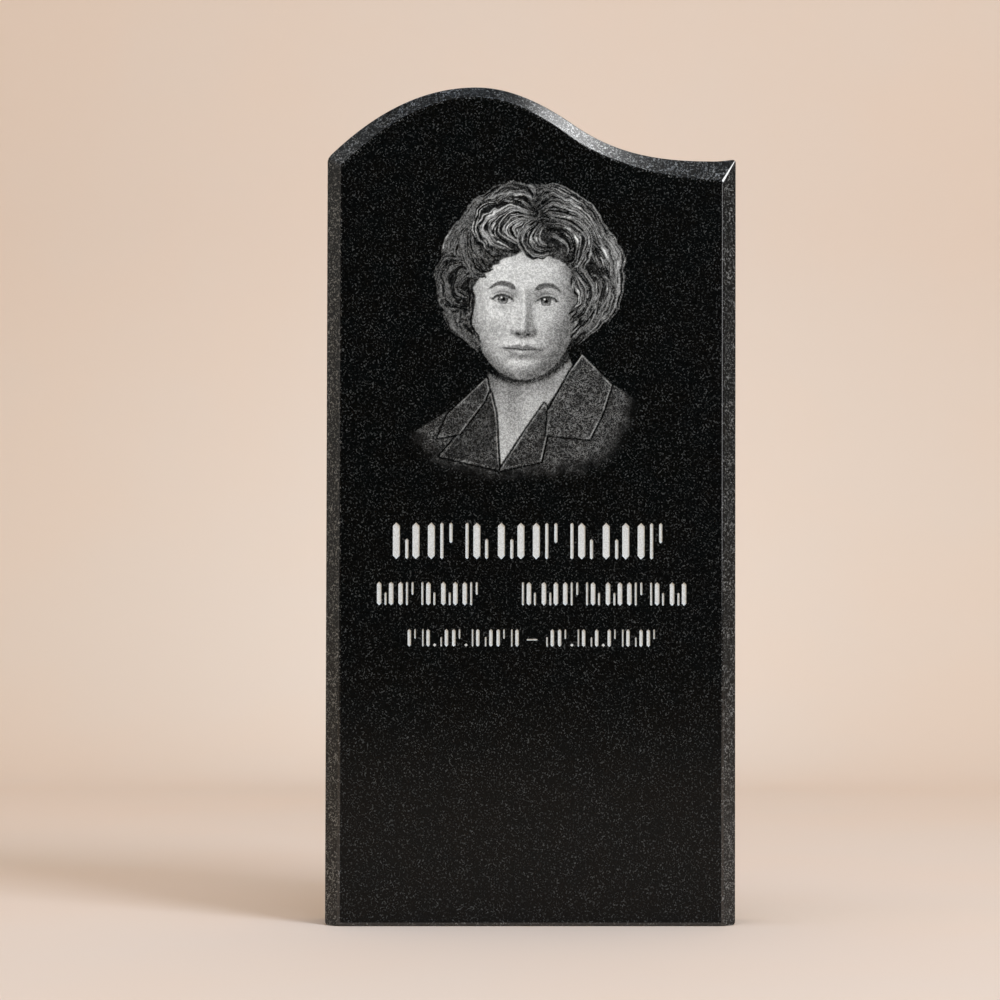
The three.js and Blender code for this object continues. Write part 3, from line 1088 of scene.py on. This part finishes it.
def draw_neck(canvas, x, z):
    points = beside(NECK)
    depth = polygon_depth(x, z, points)
    u, v = from_head(x, z)
    tone = 0.60 + 0.08 * smooth(v, -95, -165)
    tone -= 0.12 * smooth(u, -22, -42) * smooth(v, -150, -80)
    tone -= 0.10 * bump(u, v, -14, -112, 7, 30)
    tone += 0.07 * bump(u, v, 12, -104, 12, 26)
    jaw = v - (-CHIN_DOWN + 30 * np.clip(np.abs(u + 3) / 58, 0, 1) ** 2.2)
    tone -= 0.36 * smooth(jaw, -9, -1)
    tone -= 0.12 * smooth(jaw, -30, -6)
    paint(canvas, tone, smooth(depth, -0.5, 0.6))


def vignette(x, z):
    """The dress fades out towards its lower edge and both sides."""
    u, v = from_head(x, z)
    ragged = 0.06 * (value_noise(x, z, 7, 71) - 0.5)
    reach = ((np.abs(u + 5) / 150) ** 3.5 + (np.abs(v + 40) / 172) ** 3.5) ** (1 / 3.5) + ragged
    fade = smooth(reach, 1.0, 0.80)
    below = smooth(v, -60, -110)
    return 1 - below + below * fade


def draw_portrait(x, z):
    canvas = np.zeros(x.shape)
    loose = ruffle(x, z)
    draw_back_hair(canvas, *loose)
    draw_neck(canvas, x, z)
    for panel in CLOTH:
        draw_cloth(canvas, x, z, *panel)
    draw_ears(canvas, x, z)
    draw_face(canvas, x, z)
    draw_crown(canvas, *loose)
    draw_hair(canvas, *loose)
    return canvas * vignette(x, z)


def portrait_tones(x, z):
    """The portrait's tone at each place on the face."""
    columns = np.arange(*CANVAS_X, CANVAS_STEP)
    rows = np.arange(*CANVAS_Z, CANVAS_STEP)
    canvas = draw_portrait(*np.meshgrid(columns, rows))
    column = np.clip((x / MM - CANVAS_X[0]) / CANVAS_STEP, 0, len(columns) - 1.001)
    row = np.clip((z / MM - CANVAS_Z[0]) / CANVAS_STEP, 0, len(rows) - 1.001)
    c, r = column.astype(int), row.astype(int)
    fc, fr = column - c, row - r
    lower = canvas[r, c] * (1 - fc) + canvas[r, c + 1] * fc
    upper = canvas[r + 1, c] * (1 - fc) + canvas[r + 1, c + 1] * fc
    return np.clip(lower * (1 - fr) + upper * fr, 0, 1)


def build_patch(material):
    heights = patch_heights()
    share = np.linspace(-1, 1, PATCH_COLUMNS + 1)
    spread = share * (1 - PATCH_EDGE_SHARE) + PATCH_EDGE_SHARE * share**PATCH_EDGE_POWER
    half = np.array([patch_half_width(z) for z in heights])
    x = PATCH_CENTRE[0] + half[:, None] * spread[None, :]
    z = np.repeat(heights[:, None], PATCH_COLUMNS + 1, axis=1)
    front = np.stack([x, np.full_like(x, FACE_Y), z], axis=-1).reshape(-1, 3)
    builder = MeshBuilder()
    numbers = np.array(builder.ring(front)).reshape(x.shape)
    builder.faces = np.stack(
        [numbers[:-1, :-1], numbers[:-1, 1:], numbers[1:, 1:], numbers[1:, :-1]], axis=-1
    ).reshape(-1, 4).tolist()
    builder.slots = [0] * len(builder.faces)
    border = [*numbers[0, :], *numbers[1:, -1], *numbers[-1, -2::-1], *numbers[-2:0:-1, 0]]
    border = [int(n) for n in border]
    rim = [builder.vertices[n] for n in border]
    back = builder.ring([(at_x, FACE_Y + PATCH_DEPTH, at_z) for at_x, _, at_z in rim])
    builder.bridge(border, back, lambda i: 0)
    builder.face(back[::-1], 0)
    piece = builder.build("etched_portrait", [material])
    tones = np.zeros(len(builder.vertices), np.float32)
    tones[: x.size] = portrait_tones(x, z).reshape(-1)
    piece.data.attributes.new("etched", "FLOAT", "POINT").data.foreach_set("value", tones)
    return piece


stone = build_stone([polished_granite(), honed_granite(), polished_arris(), frosted_stroke()])
weigh_normals(stone)
portrait = build_patch(etched_portrait())
for piece in (stone, portrait):
    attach(piece, "root")
    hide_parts(NODE)


# Stage, lights and camera

PEACH = (0.688, 0.532, 0.425)


def build_stage():
    """A seamless sweep: the floor runs back and curves up into the wall."""
    radius, wall_y, front_y, top, half = 1.2, 3.2, -3.3, 4.0, 5.0
    bend_steps = 12
    profile = [(front_y, 0.0), (-1.0, 0.0), (0.5, 0.0), (wall_y - radius, 0.0)]
    for k in range(1, bend_steps + 1):
        angle = math.pi / 2 * k / bend_steps
        profile.append((wall_y - radius + radius * math.sin(angle), radius * (1 - math.cos(angle))))
    profile.append((wall_y, top))
    builder = MeshBuilder()
    rows = [builder.ring([(-half, y, z), (half, y, z)]) for y, z in profile]
    for a, b in zip(rows, rows[1:]):
        builder.face([a[0], a[1], b[1], b[0]], 0)
    shader = Shader("paper_sweep")
    patchy = shader.steps(shader.noise(1.6, detail=3.0), 0.35, 0.65)
    colour = shader.mix(patchy, tinted(PEACH, (0.985, 1.0, 1.01)), tinted(PEACH, (1.0, 0.99, 0.98)))
    material = shader.finish(Base_Color=colour, Roughness=0.9, Specular_IOR_Level=0.1)
    sweep = builder.build("paper_sweep", [material])


def area_light(name, lights, place, aim, size, power, colour=(1, 1, 1)):
    """A softbox, which either lights only what is matt or only adds glints."""
    data = bpy.data.lights.new(name, "AREA")
    data.shape = "RECTANGLE"
    data.size, data.size_y = size
    data.energy = power
    data.color = colour
    light = bpy.data.objects.new(name, data)
    light.location = place
    light.visible_diffuse = lights == "matt"
    light.visible_glossy = lights == "glints"
    light.rotation_euler = (Vector(aim) - Vector(place)).to_track_quat("-Z", "Y").to_euler()
    bpy.context.scene.collection.objects.link(light)


def build_camera():
    """The photograph's view: a long lens almost square to the face, a little left of centre."""
    place = Vector((-0.1019, -3.5, 0.4389))
    pitch, yaw, roll = (math.radians(a) for a in (1.109, 1.066, 0.135))
    level_share = math.cos(pitch)
    forward = Vector((math.sin(yaw) * level_share, math.cos(yaw) * level_share, math.sin(pitch)))
    level = forward.cross(Vector((0, 0, 1))).normalized()
    upright = level.cross(forward)
    right = level * math.cos(roll) + upright * math.sin(roll)
    up = right.cross(forward)
    data = bpy.data.cameras.new("camera")
    data.lens = 104.756
    data.sensor_width = 36
    data.clip_end = 50
    camera = bpy.data.objects.new("camera", data)
    turn = Matrix((right, up, -forward)).transposed().to_4x4()
    camera.matrix_world = Matrix.Translation(place) @ turn
    bpy.context.scene.collection.objects.link(camera)
    bpy.context.scene.camera = camera


build_stage()
AIM = (0, 0, 0.5)
KEY, KEY_GLINT = (4.35, -4.35, 5.3), (4.25, -4.25, 5.2)
CEILING, CEILING_GLINT = (-0.4, -0.6, 4.0), (-0.4, -0.6, 3.95)
WARM_WHITE = (1.0, 0.95, 0.9)
area_light("key_softbox", "matt", KEY, AIM, (2.7, 2.7), 503, (0.60, 0.767, 1.0))
area_light("key_glint", "glints", KEY_GLINT, AIM, (2.6, 2.6), 330)
area_light("ceiling", "matt", CEILING, (0, 0, 1.0), (2.4, 1.6), 81, (0.46, 0.65, 1.0))
area_light("ceiling_glint", "glints", CEILING_GLINT, (0, 0, 1.0), (2.4, 1.6), 1.3)
area_light("backdrop_glow", "matt", (0, 2.0, 0.75), (0, 3.2, 0.75), (0.6, 0.6), 3.6, (0.5, 0.75, 1.0))
area_light("left_panel", "glints", (-3.2, -1.0, 1.4), (0, 0, 0.7), (2.6, 2.6), 12, WARM_WHITE)
area_light("right_panel", "glints", (3.2, -1.0, 0.9), (0, 0, 0.6), (2.6, 2.2), 3, WARM_WHITE)
area_light("right_card", "glints", (1.3, -2.4, 0.85), (0.2, 0, 0.6), (0.7, 0.9), 8)
area_light("crown_fill", "glints", (-2.15, -0.6, 3.0), (0, 0, 0.95), (1.0, 1.0), 4)
area_light("crown_accent", "glints", (1.4, -0.2, 2.9), (0.05, 0, 0.95), (1.2, 0.85), 40)
world = bpy.data.worlds.new("studio")
world.use_nodes = True
world.node_tree.nodes["Background"].inputs["Color"].default_value = (0.69, 0.6, 0.4, 1)
world.cycles_visibility.glossy = False
bpy.context.scene.world = world
bpy.context.scene.view_settings.view_transform = "Standard"
build_camera()
